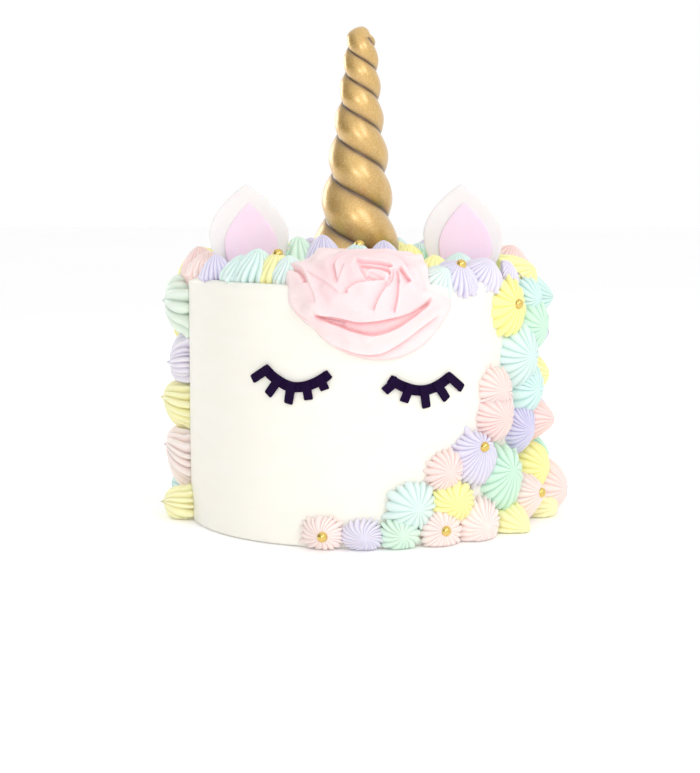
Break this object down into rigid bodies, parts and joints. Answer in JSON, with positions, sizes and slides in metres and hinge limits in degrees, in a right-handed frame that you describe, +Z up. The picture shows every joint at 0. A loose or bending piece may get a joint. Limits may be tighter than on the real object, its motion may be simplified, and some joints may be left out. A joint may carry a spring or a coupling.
{
  "type": "unicorn birthday cake",
  "caption": "Round tall birthday cake in smooth white icing with a golden horn, fondant ears, closed eyes, a piped rose and a pastel mane of piped swirls.",
  "frame": {"origin": "centre of the round foot of the cake, on the plane it stands on", "axes": "+Z up along the cake and its horn, the face with the closed eyes looks along -Y, +X to the viewer's right"},
  "size_m": [0.1866, 0.1801, 0.2241],
  "materials": {
    "buttercream_aqua": "piped buttercream, soft ridges",
    "buttercream_lavender": "piped buttercream, soft ridges",
    "buttercream_mint": "piped buttercream, soft ridges",
    "buttercream_mixed": "piped buttercream in five pastel colours, one slot for all",
    "buttercream_pink": "piped buttercream, soft ridges",
    "buttercream_white": "smoothed buttercream icing, warm white",
    "buttercream_yellow": "piped buttercream, soft ridges",
    "gold_fondant": "sugar paste brushed with gold lustre dust",
    "pink_fondant": "smooth sugar paste, matt",
    "purple_fondant": "dark purple sugar paste, near black",
    "rose_buttercream": "piped buttercream petals",
    "white_fondant": "smooth sugar paste, matt"
  },
  "bodies": {
    "root": {"base_swirl_1": "buttercream_pink", "base_swirl_2": "buttercream_lavender", "base_swirl_3": "buttercream_mint", "base_swirl_4": "buttercream_pink", "base_swirl_5": "buttercream_pink", "base_swirl_6": "buttercream_yellow", "base_swirl_7": "buttercream_pink", "base_swirl_8": "buttercream_yellow", "cake_body": "buttercream_white", "crown_swirl_01": "buttercream_pink", "crown_swirl_02": "buttercream_lavender", "crown_swirl_03": "buttercream_aqua", "crown_swirl_04": "buttercream_aqua", "crown_swirl_05": "buttercream_yellow", "crown_swirl_06": "buttercream_aqua", "crown_swirl_07": "buttercream_mint", "crown_swirl_08": "buttercream_lavender", "crown_swirl_09": "buttercream_aqua", "crown_swirl_10": "buttercream_lavender", "crown_swirl_11": "buttercream_yellow", "crown_swirl_12": "buttercream_aqua", "crown_swirl_13": "buttercream_yellow", "crown_swirl_14": "buttercream_aqua", "crown_swirl_15": "buttercream_lavender", "crown_swirl_16": "buttercream_lavender", "crown_swirl_17": "buttercream_lavender", "crown_swirl_18": "buttercream_yellow", "ear_left_inner": "pink_fondant", "ear_left_outer": "white_fondant", "ear_right_inner": "pink_fondant", "ear_right_outer": "white_fondant", "eyelash_left": "purple_fondant", "eyelash_right": "purple_fondant", "horn": "gold_fondant", "left_swirl_1": "buttercream_yellow", "left_swirl_2": "buttercream_pink", "left_swirl_3": "buttercream_yellow", "left_swirl_4": "buttercream_lavender", "left_swirl_5": "buttercream_mint", "mane_back": "buttercream_mixed", "mane_swirl_01": "buttercream_aqua", "mane_swirl_02": "buttercream_yellow", "mane_swirl_03": "buttercream_pink", "mane_swirl_04": "buttercream_lavender", "mane_swirl_05": "buttercream_mint", "mane_swirl_06": "buttercream_pink", "mane_swirl_07": "buttercream_pink", "mane_swirl_08": "buttercream_lavender", "mane_swirl_09": "buttercream_aqua", "mane_swirl_10": "buttercream_aqua", "mane_swirl_11": "buttercream_yellow", "mane_swirl_12": "buttercream_mint", "mane_swirl_13": "buttercream_aqua", "mane_swirl_14": "buttercream_yellow", "mane_swirl_15": "buttercream_pink", "rosette": "rose_buttercream"}
  },
  "joints": []
}
